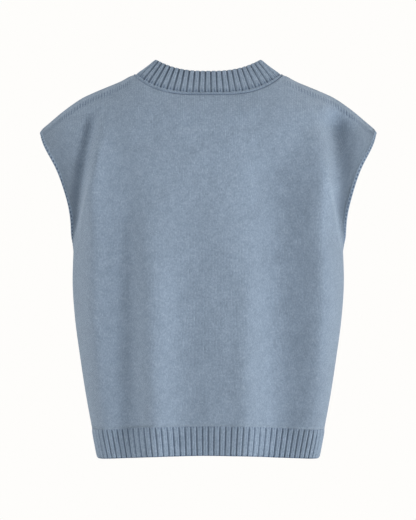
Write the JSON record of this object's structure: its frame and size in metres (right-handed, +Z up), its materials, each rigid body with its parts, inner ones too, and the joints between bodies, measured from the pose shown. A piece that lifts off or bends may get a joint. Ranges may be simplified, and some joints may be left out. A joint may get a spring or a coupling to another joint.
{
  "type": "knitted sweater vest",
  "caption": "Hollow knitted sweater vest in worn form, with ribbed crew neckband, ribbed hem and open armholes.",
  "frame": {"origin": "midway between the two high points of the shoulders, where the wearer's neck meets them", "axes": "+Z up, +X towards the wearer's left, the wearer faces -Y"},
  "size_m": [0.504, 0.2268, 0.5959],
  "materials": {
    "stockinette_knit": "heathered blue-grey plain knit, soft nap, matte",
    "rib_knit": "heathered blue-grey two by two rib, matte",
    "edge_knit": "heathered blue-grey knitted self edge, matte"
  },
  "bodies": {
    "root": {"back_panel": "stockinette_knit", "front_panel": "stockinette_knit", "back_hem_rib": "rib_knit", "front_hem_rib": "rib_knit", "neckband": "rib_knit", "armhole_edge_left": "edge_knit", "armhole_edge_right": "edge_knit"}
  },
  "joints": []
}
